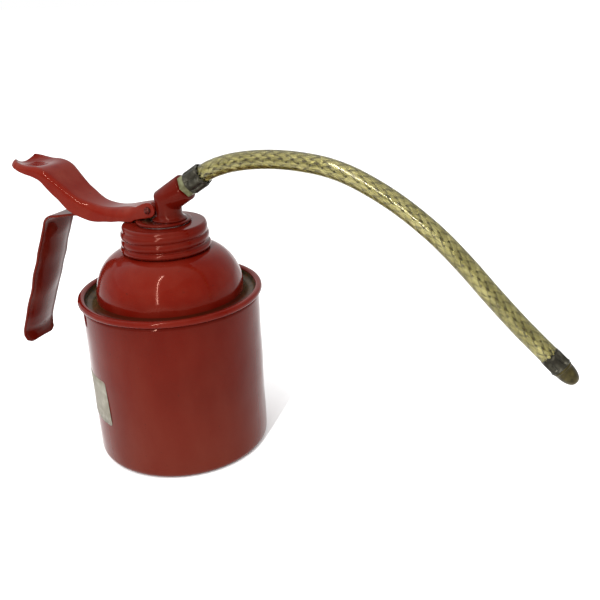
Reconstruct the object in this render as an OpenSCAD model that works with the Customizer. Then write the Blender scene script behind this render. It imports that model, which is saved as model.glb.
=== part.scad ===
// Force-feed pump oil can: a round pressed-steel can with a domed shoulder, a screw cap that
// carries the pump, a thumb lever over a strap handle, and a flexible braided spout.
// Millimetres. +Z is up, the spout points to +X and the handle to -X.
// The origin is the centre of the can's flat base.

/* [Can] */
// Outside diameter of the can's wall
can_d = 86.6; // [78:0.2:100]
// Height of the can from its base to the top of the rolled rim
can_h = 83.4; // [75:0.2:100]
// Thickness of the sheet steel
sheet = 0.8; // [0.5:0.1:1]
// Radius of the drawn corner at the base
foot_r = 3.5; // [2:0.1:6]
// Height of the rolled rim
rim_h = 3; // [2.4:0.1:4]
// How far the rolled rim stands out of the wall
rim_out = 1.7; // [1:0.1:2.4]

/* [Shoulder and neck] */
// Diameter of the domed shoulder at the gutter
dome_d = 72; // [64:0.2:76]
// Height of the dome above the top of the rim
dome_rise = 20.2; // [14:0.1:28]
// Depth of the gutter's centre line below the top of the rim
gutter_drop = 2; // [1.6:0.1:4]
// Outside diameter of the neck
neck_d = 38.6; // [36:0.2:42]
// Height of the neck above the dome
neck_h = 9.1; // [6:0.1:14]
// Thickness of the neck gasket
gasket_t = 1.5; // [1:0.1:3]

/* [Screw cap] */
// Height of the cap
cap_h = 12.6; // [9:0.1:14]
// Thickness of the cap's sheet
cap_t = 0.7; // [0.5:0.1:0.9]
// How far the rolled thread ridges stand out of the cap's wall
ridge = 0.6; // [0.4:0.1:1]
// How far the lowest ridge stands out past the others
skirt_out = 0.9; // [0.4:0.1:1.2]
// Distance from one rolled ridge to the next
ridge_pitch = 3.8; // [3.2:0.1:4]
// Diameter of the hole that the pump's boss comes up through
cap_hole_d = 24.6; // [22:0.1:28]

/* [Pump head] */
// Thickness of the head's flange under the cap
flange_t = 1.6; // [1.2:0.1:2.4]
// Distance of the plunger behind the can's axis
rod_back = 8.9; // [8.6:0.1:9.2]
// Diameter of the plunger rod
rod_d = 3.2; // [2.4:0.1:3.6]
// Bore of the pump barrel
barrel_bore = 11; // [9:0.1:11.4]
// Wall of the pump barrel
barrel_wall = 1.9; // [1.2:0.1:2]
// Length of the pump barrel below the flange
barrel_len = 36; // [34:0.5:44]
// Travel of the plunger, from the rest position up
stroke = 1.8; // [1:0.1:3]
// Height of the suction tube's end above the can's floor
tube_gap = 4; // [2:0.5:10]

/* [Elbow] */
// Distance of the elbow's upright leg in front of the can's axis
elbow_fwd = 3.4; // [3:0.1:4]
// Outside diameter of the elbow
elbow_d = 12.8; // [11:0.1:13]
// Bore of the elbow
elbow_bore = 4.8; // [3:0.1:6]
// Height of the mitre above the handle's eye
mitre_h = 9.4; // [8.6:0.1:12]
// Angle of the spout leg above the horizontal
spout_angle = 33; // [25:1:45]
// Length of the spout leg from the mitre's centre
spout_leg = 12.6; // [11:0.1:18]

/* [Hose] */
// Outside diameter of the hose
hose_d = 8.5; // [7:0.1:9]
// Diameter of the crimped ferrule at the elbow
rear_ferrule_d = 11.2; // [10:0.1:12]
// Length of the crimped ferrule at the elbow
rear_ferrule_len = 9.2; // [7:0.1:12]
// Diameter of the crimped ferrule at the nozzle
front_ferrule_d = 9.6; // [9.2:0.1:11]
// Length of the crimped ferrule at the nozzle
front_ferrule_len = 7.6; // [6:0.1:10]
// Length of the hexagon between the elbow and the hose
hex_len = 3.4; // [2:0.1:5]
// Length of the nozzle
nozzle_len = 8.2; // [6:0.1:12]

/* [Thumb lever] */
// Outside width of the lever at its pivot
lever_w = 15; // [14.6:0.1:17]
// Width of the thumb pad
pad_w = 24; // [20:0.5:28]
// Depth of the dish at the end of the thumb pad
pad_dish = 2.6; // [0:0.1:3]
// Thickness of the lever's sheet
lever_t = 1.2; // [0.8:0.1:1.2]
// Depth of the lever's side flanges at the pivot
flange_depth = 6.8; // [6.4:0.1:7]
// Radius of the folds along the lever
fold_r = 2.4; // [1.6:0.1:2.8]
// Diameter of the pivot pin
pin_d = 2.6; // [2:0.1:3]
// Distance of the pivot behind the can's axis
pin_back = 3.4; // [3:0.1:3.8]
// Height of the pivot above the handle's eye
pin_h = 5.5; // [5.3:0.1:6]
// Slope of the lever's neck
lever_slope = 42; // [36:1:48]

/* [Handle strap] */
// Width of the strap where it is gripped
strap_w = 23; // [18:0.5:26]
// Thickness of the strap
strap_t = 1.2; // [1:0.1:1.6]
// Width of the strap under the lever
strap_neck_w = 10.4; // [8:0.1:10.8]
// Distance from the can's axis to the bend at the top of the handle
strap_reach = 57.5; // [54:0.5:70]
// Length of the straight part of the grip
grip_len = 66; // [50:1:80]
// Lean of the grip, away from the upright
grip_lean = 23; // [15:1:30]
// How far the strap's middle bows toward the can
strap_bow = 2.4; // [1:0.1:4]

/* [Hidden] */
$fn = 64;

// Clearances
seat_gap = 0.05;
fit_gap = 0.05;
free_gap = 0.3;

// Can and shoulder
can_r = can_d / 2;
dome_r = dome_d / 2;
neck_r = neck_d / 2;
gutter_z = can_h - gutter_drop;
dome_z = can_h - 1.4;
dome_top = can_h + dome_rise;
neck_top = dome_top + neck_h;
gutter_r = (can_r - 2 * sheet - dome_r) / 2;

// Stack of pieces on the neck, from the gasket up
gasket_z = neck_top + seat_gap;
flange_z = gasket_z + gasket_t + seat_gap;
boss_z = flange_z + flange_t;
cap_top = boss_z + seat_gap * 4 + cap_t;
boss_top = cap_top + 0.4;
eye_top = boss_top + strap_t;
cap_in_r = neck_r + free_gap;
cap_r = cap_in_r + cap_t;
flange_r = cap_in_r - free_gap;
gasket_in_r = neck_r - 2;
ridge_r = 1.3;
boss_r = cap_hole_d / 2 - free_gap;
eye_r = boss_r + 1.2;

// Pump
barrel_r = barrel_bore / 2;
barrel_x = -rod_back;
barrel_bottom = flange_z - barrel_len;
barrel_top = flange_z - 4.2;
seal_r = 2.6;
seal_h = 2.4;
gland_rim = 1.4;
foot_len = 8;
foot_top = barrel_bottom + foot_len;
nut_h = 1.8;
cup_h = 2.6;
piston_h = 2.4;
head_room = 6.6;
piston_z = barrel_top - head_room - stroke - nut_h - cup_h - piston_h;
cup_lip = 1.6;
ball_r = 2;
foot_seat = barrel_bottom + 2;
foot_bore_r = 1.4;
delivery_r = 5.4;
spigot_r = 4;
spigot_len = 7;
chamber_r = 2.9;
delivery_ball_r = 2.2;
delivery_seat = foot_top + 13;
chamber_top = eye_top - spigot_len;
tube_r = 3.2;
tube_bore_r = 2.4;

// Elbow and spout
elbow_x = elbow_fwd;
elbow_r = elbow_d / 2;
mitre_z = eye_top + mitre_h;
hex_r = elbow_r * 0.88;
tail_r = 2.6;
jaws = 6;
arm = [cos(spout_angle), 0, sin(spout_angle)];
mitre = [elbow_x, 0, mitre_z];
hose_start = mitre + (spout_leg + hex_len + rear_ferrule_len) * arm;

// Route of the free hose, after the ferrule at the elbow
hose_route = [[35, 0, 146], [47, 0, 148.5], [60, 0, 149.5], [73, 0, 149], [86, 0, 147],
    [99, 0, 142.5], [115, 0, 134], [131, 0, 122.5], [144, 0, 110.5], [156, 0, 98],
    [168, 0, 86], [180, 0, 75]];
hose_end = hose_route[len(hose_route) - 1];
hose_last = hose_end - hose_route[len(hose_route) - 2];
tip_angle = atan2(hose_last[2], hose_last[0]);

// Lever: the path of the outer face of its top plate
pin_x = -pin_back;
pin_z = eye_top + pin_h;
ear_r = 3.6;
lever_top = pin_z - 0.9;
lever_rear = pin_x - ear_r;
lever_front = -27.1;
lever_path = [[23.1, lever_slope, 8], [10.5, 0, 2], [11.5, 0.6 - lever_slope, 8],
    [1.8, 0, 2], [10.6, 24, 5]];
pad_start = 40;
rod_top = lever_top - lever_t - 0.1;

// Handle: the path of the strap's middle
strap_mid = eye_top - strap_t / 2;
strap_path = [[9.5, 0, 4], [8.2, grip_lean - 90, 8], [grip_len, 0, 6], [10, -63, 8]];

// The length of the chord under an arc of a given length that turns by a given angle
function chord(length, turn) =
    abs(turn) < 0.01 ? length : 360 * length / (PI * turn) * sin(turn / 2);

// One step along a path. A station is [x, z, heading, distance so far]
function step(s, length, turn) =
    let (c = chord(length, turn), h = s[2] + turn / 2)
    [s[0] - c * cos(h), s[1] + c * sin(h), s[2] + turn, s[3] + length];

// The stations of one segment [length, turn, steps], without its first
function segment(s, seg) =
    [for (i = 1, p = step(s, seg[0] / seg[2], seg[1] / seg[2]); i <= seg[2];
        p = step(p, seg[0] / seg[2], seg[1] / seg[2]), i = i + 1) p];

// All the stations of a path from its first station
function walk(s, path, i = 0) =
    i == len(path) ? [s] :
    let (run = segment(s, path[i]))
    concat([s], [for (k = [0 : 1 : len(run) - 2]) run[k]], walk(run[len(run) - 1], path, i + 1));

// A point at a station: y across the strip, n out of its outer face
function at(s, y, n) = [s[0] + n * sin(s[2]), y, s[1] + n * cos(s[2])];

// The outline of a channel section, as [y, n] from the near flange to the far one and back.
// Its top sinks by dish in the middle
function channel(half_w, depth, r, t, dish = 0) =
    let (a = [for (i = [0 : 4]) i * 22.5], u = [-0.6, -0.2, 0.2, 0.6])
    concat([[-half_w, -max(depth, r + 0.1)]],
        [for (q = a) [-half_w + r - r * cos(q), -r + r * sin(q)]],
        [for (k = u) [k * (half_w - r), -dish * (1 - k * k)]],
        [for (q = a) [half_w - r + r * sin(q), -r + r * cos(q)]],
        [[half_w, -max(depth, r + 0.1)], [half_w - t, -max(depth, r + 0.1)]],
        [for (q = a) [half_w - r + (r - t) * cos(q), -r + (r - t) * sin(q)]],
        [for (k = u) [-k * (half_w - r), -t - dish * (1 - k * k)]],
        [for (q = a) [-half_w + r - (r - t) * sin(q), -r + (r - t) * cos(q)]],
        [[-half_w + t, -max(depth, r + 0.1)]]);

// The outline of a bowed strap section, its outer side first
function bowed(half_w, bow, t) =
    let (u = [for (i = [-4 : 4]) i / 4])
    concat([for (q = u) [q * half_w, t / 2 - bow * (1 - q * q)]],
        [for (q = u) [-q * half_w, -t / 2 - bow * (1 - q * q)]]);

// A closed skin through rings of points. Its ends are strips of quads between opposite points,
// so a ring has an even number of points
module skin(rings) {
    n = len(rings[0]);
    m = len(rings);
    polyhedron(
        [for (r = rings) each r],
        concat(
            [for (j = [0 : n / 2 - 2]) [j, j + 1, n - 2 - j, n - 1 - j]],
            [for (j = [0 : n / 2 - 2])
                (m - 1) * n * [1, 1, 1, 1] + [n - 1 - j, n - 2 - j, j + 1, j]],
            [for (i = [0 : m - 2], j = [0 : n - 1])
                [i * n + j, (i + 1) * n + j, (i + 1) * n + (j + 1) % n]],
            [for (i = [0 : m - 2], j = [0 : n - 1])
                [i * n + j, (i + 1) * n + (j + 1) % n, i * n + (j + 1) % n]]),
        convexity = 8);
}

// A coil spring of round wire round the Z axis, from the height z0 to z1
module coil(r, wire, z0, z1, turns) {
    steps = turns * 14;
    skin([for (i = [0 : steps])
        let (a = i * 360 / 14, z = z0 + wire / 2 + (z1 - z0 - wire) * i / steps)
        [for (j = [0 : 5])
            let (rr = r + wire / 2 * cos(-60 * j))
            [rr * cos(a), rr * sin(a), z + wire / 2 * sin(-60 * j)]]]);
}

// A pipe or rod along the spout leg, measured from the mitre's centre
module along_arm(d0) {
    translate(mitre + d0 * arm) rotate([0, 90 - spout_angle, 0]) children();
}

// A crimped sleeve with the marks of the crimping jaws along its sides
module ferrule(r, length, bore) {
    difference() {
        cylinder(r = r, h = length);
        translate([0, 0, -1]) cylinder(r = bore, h = length + 2);
        for (i = [0 : jaws - 1])
            rotate((i + 0.5) * 360 / jaws) translate([r + 1.1, 0, 1.2])
                cylinder(r = 1.8, h = length - 2.4);
    }
}

// A square with round corners in the plane of a section
module round_box(x0, x1, y0, y1, r) {
    translate([x0 + r, y0]) square([x1 - x0 - 2 * r, y1 - y0]);
    translate([x0, y0 + r]) square([x1 - x0, y1 - y0 - 2 * r]);
    for (x = [x0 + r, x1 - r], y = [y0 + r, y1 - r])
        translate([x, y]) circle(r = r);
}

// The filled section of the drawn can, with its round base corner
module can_section(r, z0, corner) {
    translate([0, z0 + corner]) square([r, can_h - rim_h - z0 - corner]);
    translate([0, z0]) square([r - corner, corner]);
    translate([r - corner, z0 + corner]) circle(r = corner);
}

module can_body() {
    color("firebrick")
    rotate_extrude($fn = 128)
        difference() {
            can_section(can_r, 0, foot_r);
            can_section(can_r - sheet, sheet, foot_r - sheet);
            translate([0, can_h - rim_h - 0.01]) square([can_r - sheet, 1]);
        }
}

module can_shoulder() {
    a = dome_r - neck_r;
    rise = dome_top - dome_z;
    turn = [for (i = [0 : 14]) i * 90 / 14];
    gutter_mid = dome_r + gutter_r;
    color("firebrick")
    rotate_extrude($fn = 128) {
        // rolled rim
        round_box(can_r - 2 * sheet, can_r + rim_out, can_h - rim_h, can_h, 1.3);
        // wall from the rim down to the gutter
        translate([can_r - 2 * sheet, gutter_z]) square([sheet, gutter_drop - 1.3]);
        // round gutter
        intersection() {
            difference() {
                translate([gutter_mid, gutter_z]) circle(r = gutter_r + sheet);
                translate([gutter_mid, gutter_z]) circle(r = gutter_r);
            }
            translate([0, gutter_z - can_h]) square([can_d, can_h]);
        }
        // upright foot of the dome
        translate([dome_r - sheet, gutter_z]) square([sheet, dome_z - gutter_z]);
        // dome
        polygon(concat(
            [for (q = turn) [dome_r - a * (1 - cos(q)), dome_z + rise * sin(q)]],
            [for (i = [14 : -1 : 0]) let (q = i * 90 / 14)
                [dome_r - sheet - a * (1 - cos(q)), dome_z + (rise - sheet) * sin(q)]]));
        // neck
        translate([neck_r - sheet, dome_top - sheet]) square([sheet, neck_h + sheet]);
    }
}

module neck_gasket() {
    color("dimgray")
    translate([0, 0, gasket_z])
        difference() {
            cylinder(r = flange_r, h = gasket_t);
            translate([0, 0, -1]) cylinder(r = gasket_in_r, h = gasket_t + 2);
        }
}

module screw_cap() {
    cap_z = cap_top - cap_h;
    color("firebrick")
    rotate_extrude($fn = 128)
        difference() {
            union() {
                round_box(cap_in_r - 4, cap_r, cap_z + 1, cap_top, 1.2);
                translate([cap_hole_d / 2, cap_top - cap_t])
                    square([cap_r - 1.2 - cap_hole_d / 2, cap_t]);
                for (i = [0 : 2])
                    translate([cap_r + ridge - ridge_r + (i == 0 ? skirt_out : 0),
                        cap_z + ridge_r + i * ridge_pitch]) circle(r = ridge_r);
                translate([cap_in_r, cap_z]) square([cap_t + skirt_out, 2 * ridge_r]);
            }
            translate([0, cap_z - 1]) square([cap_in_r, cap_h - cap_t + 1]);
            translate([0, cap_z - 2]) square([cap_hole_d / 2, cap_h + 4]);
        }
}

// Holes along the plunger's axis and along the delivery passage
module pump_bores() {
    translate([barrel_x, 0, 0]) {
        translate([0, 0, barrel_bottom - 1]) cylinder(r = barrel_r, h = barrel_top - barrel_bottom + 1);
        cylinder(r = rod_d / 2 + fit_gap, h = boss_top + 1);
        translate([0, 0, boss_top - seal_h - 1.6]) cylinder(r = seal_r, h = seal_h + 4);
    }
    translate([elbow_x, 0, 0]) {
        translate([0, 0, foot_top + 4]) cylinder(r = 1.5, h = boss_top);
        translate([0, 0, delivery_seat]) cylinder(r = chamber_r, h = boss_top);
        translate([0, 0, chamber_top]) cylinder(r = spigot_r + fit_gap, h = boss_top);
    }
    translate([barrel_x, 0, foot_top + 5.5]) rotate([0, 90, 0]) cylinder(r = 1.2, h = elbow_x - barrel_x);
}

module pump_head() {
    color("silver")
    difference() {
        union() {
            translate([0, 0, flange_z]) cylinder(r = flange_r, h = flange_t);
            translate([0, 0, flange_z]) cylinder(r = boss_r, h = boss_top - flange_z);
            translate([barrel_x, 0, barrel_bottom])
                cylinder(r = barrel_r + barrel_wall, h = barrel_len + 0.5);
            translate([elbow_x, 0, foot_top + 2])
                cylinder(r = delivery_r, h = flange_z - foot_top - 1.5);
            translate([barrel_x, -delivery_r + 1, foot_top + 2])
                cube([elbow_x - barrel_x, 2 * delivery_r - 2, flange_z - foot_top - 1.5]);
        }
        pump_bores();
    }
}

module rod_seal() {
    color("saddlebrown")
    translate([barrel_x, 0, boss_top - seal_h - 1.6])
        difference() {
            cylinder(r = seal_r - fit_gap, h = seal_h);
            translate([0, 0, -1]) cylinder(r = rod_d / 2 + fit_gap, h = seal_h + 2);
        }
}

module rod_gland() {
    color("darkkhaki")
    translate([barrel_x, 0, boss_top - 1.6])
        difference() {
            union() {
                cylinder(r = seal_r - fit_gap, h = 1.6 + strap_t);
                translate([0, 0, 1.6 + strap_t]) cylinder(r = seal_r + 0.3, h = gland_rim, $fn = 6);
            }
            translate([0, 0, -1]) cylinder(r = rod_d / 2 + fit_gap, h = 9);
        }
}

// The space on one side of the mitre: a block above it, in the mitre's own frame
module mitre_half(up) {
    translate(mitre) rotate([0, (90 - spout_angle) / 2, 0])
        translate([-40, -40, up ? 0 : -80]) cube(80);
}

// The elbow's two legs at a given radius, mitred where they meet
module mitred_legs(r, z0, length) {
    difference() {
        translate([elbow_x, 0, z0]) cylinder(r = r, h = mitre_z - z0 + 2 * r);
        mitre_half(true);
    }
    difference() {
        along_arm(-2 * r) cylinder(r = r, h = length + 2 * r);
        mitre_half(false);
    }
}

module spout_elbow() {
    lug_w = lever_w - 2 * lever_t - 0.4;
    color("firebrick")
    difference() {
        union() {
            mitred_legs(elbow_r, eye_top, spout_leg);
            // round foot on the handle's eye, and the spigot below it
            translate([elbow_x, 0, eye_top]) cylinder(r = elbow_r + 1.8, h = 0.9);
            translate([elbow_x, 0, eye_top + 0.9]) cylinder(r1 = elbow_r + 1.6, r2 = elbow_r, h = 1.3);
            translate([elbow_x, 0, chamber_top]) cylinder(r = spigot_r, h = spigot_len + 1);
            // lug that holds the lever's pin
            translate([pin_x, lug_w / 2, pin_z]) rotate([90, 0, 0]) cylinder(r = 3, h = lug_w);
            translate([pin_x, -lug_w / 2, pin_z - 3]) cube([-pin_x + 0.4, lug_w, 6]);
        }
        mitred_legs(elbow_bore / 2, chamber_top - 1, spout_leg + 1);
        translate([pin_x, lever_w, pin_z]) rotate([90, 0, 0]) cylinder(r = pin_d / 2, h = 2 * lever_w);
    }
}

module handle_strap() {
    first = [-strap_reach + 9.5, strap_mid, 0, 0];
    run = walk(first, strap_path);
    last = run[len(run) - 1][3];
    widths = [[0, strap_neck_w / 2], [9.5, strap_w / 2], [last - 8, strap_w / 2],
        [last - 3, strap_w / 2 - 1.5], [last, strap_w / 2 - 5]];
    bows = [[0, 0], [14, 0.2], [26, strap_bow], [last - 12, strap_bow], [last, strap_bow * 0.4]];
    color("firebrick") {
        skin([for (s = run)
            [for (p = bowed(lookup(s[3], widths), lookup(s[3], bows), strap_t)) at(s, p[0], p[1])]]);
        difference() {
            union() {
                translate([0, 0, boss_top]) cylinder(r = eye_r, h = strap_t);
                translate([first[0], -strap_neck_w / 2, boss_top])
                    cube([-first[0], strap_neck_w, strap_t]);
            }
            translate([barrel_x, 0, boss_top - 1]) cylinder(r = seal_r, h = strap_t + 2);
            translate([elbow_x, 0, boss_top - 1]) cylinder(r = spigot_r + fit_gap, h = strap_t + 2);
        }
    }
}

module lever_pin() {
    half = lever_w / 2 + 0.15;
    color("dimgray")
    translate([pin_x, 0, pin_z]) rotate([90, 0, 0]) {
        translate([0, 0, -half]) cylinder(r = pin_d / 2, h = 2 * half);
        for (k = [-1, 1])
            translate([0, 0, k * half]) intersection() {
                sphere(r = pin_d / 2 + 0.4);
                translate([-pin_d, -pin_d, k > 0 ? 0 : -0.9]) cube([2 * pin_d, 2 * pin_d, 0.9]);
            }
    }
}

// The side view of the lever's straight part, with the ears round the pin
module lever_side() {
    low = lever_top - flange_depth;
    polygon([[lever_front, lever_top], [lever_front, low],
        [-cap_r + 1.2, cap_top + free_gap + 0.2], [pin_x + 1.2, pin_z - ear_r + 0.2],
        [pin_x, pin_z], [lever_rear, lever_top]]);
    translate([pin_x, pin_z]) circle(r = ear_r);
}

module thumb_lever() {
    half = lever_w / 2;
    run = walk([lever_front, lever_top, 0, 0], lever_path);
    last = run[len(run) - 1][3];
    pivot_fold = fold_r + 0.8;
    widths = [[0, half], [6, half], [20, pad_w / 2 - 2.4], [pad_start, pad_w / 2],
        [last - 6, pad_w / 2], [last - 3, pad_w / 2 - 0.6], [last - 1, pad_w / 2 - 1.8],
        [last, pad_w / 2 - 3]];
    depths = [[0, flange_depth], [9.5, flange_depth + 1.7], [17, flange_depth + 1.7],
        [25, flange_depth + 0.6], [pad_start, flange_depth - 1.5], [last, fold_r + 0.2]];
    folds = [[0, pivot_fold], [20, fold_r]];
    dishes = [[pad_start - 2, 0], [pad_start + 6, pad_dish * 0.4], [last, pad_dish]];
    color("firebrick")
    difference() {
        union() {
            // straight channel over the handle, cut to its side view
            intersection() {
                translate([lever_rear, 0, lever_top]) rotate([90, 0, -90])
                    linear_extrude(height = lever_rear - lever_front)
                        polygon(channel(half, flange_depth, pivot_fold, lever_t));
                translate([0, half, 0]) rotate([90, 0, 0]) linear_extrude(height = lever_w) lever_side();
            }
            // ears
            for (y = [half, -half + lever_t])
                translate([0, y, 0]) rotate([90, 0, 0]) linear_extrude(height = lever_t)
                    intersection() {
                        lever_side();
                        union() {
                            translate([pin_x, pin_z]) circle(r = ear_r);
                            translate([pin_x - 12, 0]) square([14, lever_top - fold_r]);
                        }
                    }
            // curved neck and thumb pad
            skin([for (s = run)
                [for (p = channel(lookup(s[3], widths), lookup(s[3], depths),
                    lookup(s[3], folds), lever_t, lookup(s[3], dishes))) at(s, p[0], p[1])]]);
        }
        translate([pin_x, lever_w, pin_z]) rotate([90, 0, 0])
            cylinder(r = pin_d / 2 + fit_gap, h = 2 * lever_w);
    }
}

module plunger_rod() {
    color("silver")
    translate([barrel_x, 0, 0]) {
        translate([0, 0, piston_z + nut_h]) cylinder(r = rod_d / 2 - 0.4, h = cup_h + piston_h);
        translate([0, 0, piston_z + nut_h + cup_h + piston_h])
            cylinder(r = rod_d / 2, h = rod_top - rod_d / 2 - piston_z - nut_h - cup_h - piston_h);
        translate([0, 0, rod_top - rod_d / 2]) sphere(r = rod_d / 2);
    }
}

module piston() {
    color("darkkhaki")
    translate([barrel_x, 0, piston_z + nut_h + cup_h])
        difference() {
            cylinder(r = barrel_r - 0.2, h = piston_h);
            translate([0, 0, -1]) cylinder(r = rod_d / 2 - 0.4, h = piston_h + 2);
        }
}

module cup_washer() {
    color("saddlebrown")
    translate([barrel_x, 0, piston_z + nut_h])
        difference() {
            cylinder(r = barrel_r - fit_gap, h = cup_h);
            translate([0, 0, -1]) cylinder(r = rod_d / 2 - 0.4, h = cup_h + 2);
            translate([0, 0, cup_lip - cup_h]) difference() {
                cylinder(r = barrel_r - 0.8, h = cup_h);
                cylinder(r = 2.6, h = cup_h);
            }
        }
}

module piston_nut() {
    color("darkkhaki")
    translate([barrel_x, 0, piston_z])
        cylinder(r = 2.4, h = nut_h, $fn = 6);
}

module return_spring() {
    color("silver")
    translate([barrel_x, 0, 0])
        coil(3.8, 0.8, foot_top + seat_gap, piston_z + nut_h + cup_lip - seat_gap, 6);
}

module foot_valve_body() {
    color("darkkhaki")
    translate([barrel_x, 0, 0])
        difference() {
            union() {
                translate([0, 0, barrel_bottom]) cylinder(r = barrel_r - fit_gap, h = foot_len);
                translate([0, 0, barrel_bottom - 2]) cylinder(r = barrel_r + 0.8, h = 2);
                translate([0, 0, barrel_bottom - 8]) cylinder(r = tube_bore_r - fit_gap, h = 8);
            }
            translate([0, 0, barrel_bottom - 9]) cylinder(r = foot_bore_r, h = 20);
            translate([0, 0, foot_seat]) cylinder(r = ball_r + 0.6, h = foot_len);
            translate([0, barrel_r, foot_top - 0.8]) rotate([90, 0, 0]) cylinder(r = 0.45, h = barrel_bore);
        }
}

module foot_valve_ball() {
    color("silver")
    translate([barrel_x, 0, foot_seat + sqrt(ball_r * ball_r - foot_bore_r * foot_bore_r) + seat_gap])
        sphere(r = ball_r);
}

module ball_stop_pin() {
    color("silver")
    translate([barrel_x, barrel_r - 0.4, foot_top - 0.8]) rotate([90, 0, 0])
        cylinder(r = 0.4, h = barrel_bore - 0.8);
}

module suction_tube() {
    top = barrel_bottom - 2;
    low = sheet + tube_gap;
    color("silver")
    translate([barrel_x, 0, 0])
        difference() {
            translate([0, 0, low]) cylinder(r = tube_r, h = top - low);
            translate([0, 0, low - 1]) cylinder(r = tube_bore_r, h = top - low + 2);
            translate([-tube_r - 1, -tube_r - 1, low - 1]) rotate([0, 30, 0]) translate([0, 0, -8])
                cube([4 * tube_r, 2 * tube_r + 2, 8]);
        }
}

module delivery_ball() {
    color("silver")
    translate([elbow_x, 0, delivery_seat + sqrt(delivery_ball_r * delivery_ball_r - 2.25) + seat_gap])
        sphere(r = delivery_ball_r);
}

module delivery_spring() {
    low = delivery_seat + sqrt(delivery_ball_r * delivery_ball_r - 2.25) + delivery_ball_r + 0.1;
    color("silver")
    translate([elbow_x, 0, 0])
        coil(1.9, 0.5, low, chamber_top - 0.05, 5);
}

module hose_gland() {
    color("darkkhaki")
    difference() {
        union() {
            along_arm(spout_leg) cylinder(r = hex_r, h = hex_len, $fn = 6);
            along_arm(spout_leg) cylinder(r = tail_r - fit_gap, h = hex_len + rear_ferrule_len);
        }
        along_arm(spout_leg - 1) cylinder(r = 1.5, h = hex_len + rear_ferrule_len + 2);
    }
}

module rear_ferrule() {
    color("dimgray")
    along_arm(spout_leg + hex_len) ferrule(rear_ferrule_d / 2, rear_ferrule_len, tail_r);
}

module spout_hose() {
    points = concat([hose_start], hose_route);
    n = len(points) - 1;
    color("darkkhaki")
    skin([for (i = [0 : n])
        let (d = i == 0 ? arm : i == n ? hose_last : points[i + 1] - points[i - 1],
            a = atan2(d[2], d[0]))
        [for (j = [0 : 11])
            points[i] + hose_d / 2 * [-cos(30 * j) * sin(a), sin(30 * j), cos(30 * j) * cos(a)]]]);
}

// A place along the far end of the hose, measured from the hose's last point
module along_tip(d0) {
    translate(hose_end + d0 * [cos(tip_angle), 0, sin(tip_angle)])
        rotate([0, 90 - tip_angle, 0]) children();
}

module front_ferrule() {
    color("dimgray")
    along_tip(0) ferrule(front_ferrule_d / 2, front_ferrule_len, 2);
}

module spout_nozzle() {
    base_r = front_ferrule_d / 2 - 0.7;
    turn = [for (i = [0 : 8]) i * 10];
    color("darkkhaki")
    along_tip(0) rotate_extrude()
        difference() {
            union() {
                // stem inside the ferrule
                square([2 - fit_gap, front_ferrule_len]);
                translate([0, front_ferrule_len]) square([base_r, 1.4]);
                polygon(concat([[0, front_ferrule_len + 1.4]],
                    [for (q = turn) [1.3 + (base_r - 1.7) * cos(q),
                        front_ferrule_len + 1.4 + (nozzle_len - 1.4) * sin(q) / sin(80)]],
                    [[0, front_ferrule_len + nozzle_len]]));
            }
            translate([0, -1]) square([0.8, front_ferrule_len + nozzle_len + 2]);
        }
}

can_body();
can_shoulder();
neck_gasket();
screw_cap();
pump_head();
rod_seal();
rod_gland();
spout_elbow();
handle_strap();
lever_pin();
thumb_lever();
plunger_rod();
piston();
cup_washer();
piston_nut();
return_spring();
foot_valve_body();
foot_valve_ball();
ball_stop_pin();
suction_tube();
delivery_ball();
delivery_spring();
hose_gland();
rear_ferrule();
spout_hose();
front_ferrule();
spout_nozzle();
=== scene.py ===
"""A workshop oil can with a hand pump, a thumb lever and a braided flexible spout, dressed
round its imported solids. Lengths are written in millimetres and turned into metres by mm."""

import math

import bmesh
import bpy
from mathutils import Matrix, Vector, noise
from mathutils.geometry import interpolate_bezier


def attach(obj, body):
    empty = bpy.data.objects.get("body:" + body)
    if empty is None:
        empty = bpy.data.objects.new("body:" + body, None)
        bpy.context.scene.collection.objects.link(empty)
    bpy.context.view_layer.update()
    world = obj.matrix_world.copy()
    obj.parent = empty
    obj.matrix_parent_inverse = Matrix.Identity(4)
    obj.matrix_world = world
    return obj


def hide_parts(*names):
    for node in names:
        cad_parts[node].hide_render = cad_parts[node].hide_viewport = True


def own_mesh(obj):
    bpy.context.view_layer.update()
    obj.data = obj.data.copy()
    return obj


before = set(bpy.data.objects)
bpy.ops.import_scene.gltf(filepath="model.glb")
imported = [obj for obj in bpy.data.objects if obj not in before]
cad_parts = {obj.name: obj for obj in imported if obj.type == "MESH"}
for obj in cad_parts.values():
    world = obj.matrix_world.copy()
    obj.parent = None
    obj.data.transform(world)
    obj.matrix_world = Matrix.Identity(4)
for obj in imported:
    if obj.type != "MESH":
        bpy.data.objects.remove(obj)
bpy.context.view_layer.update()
mm = 0.001

# The camera stands in front of the can and a little towards the spout, looking down on it,
# and the picture leans two degrees, as a photograph taken in the hand does.
aim = Vector((58.1, 25.9, 73.55)) * mm
swing = math.radians(24)
height_angle = math.radians(22.16)
lean = math.radians(-2.217)
distance = 379.8
away = Vector((math.sin(swing) * math.cos(height_angle),
               -math.cos(swing) * math.cos(height_angle), math.sin(height_angle)))
lens = bpy.data.cameras.new("camera")
lens.sensor_width = 36
lens.lens = 45.6
lens.clip_start = 10 * mm
lens.clip_end = 20_000 * mm
camera = bpy.data.objects.new("camera", lens)
turn = (-away).to_track_quat("-Z", "Y").to_matrix().to_4x4()
camera.matrix_world = (Matrix.Translation(aim + away * distance * mm) @ turn
                       @ Matrix.Rotation(lean, 4, "Z"))
bpy.context.scene.collection.objects.link(camera)
bpy.context.scene.camera = camera


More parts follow.
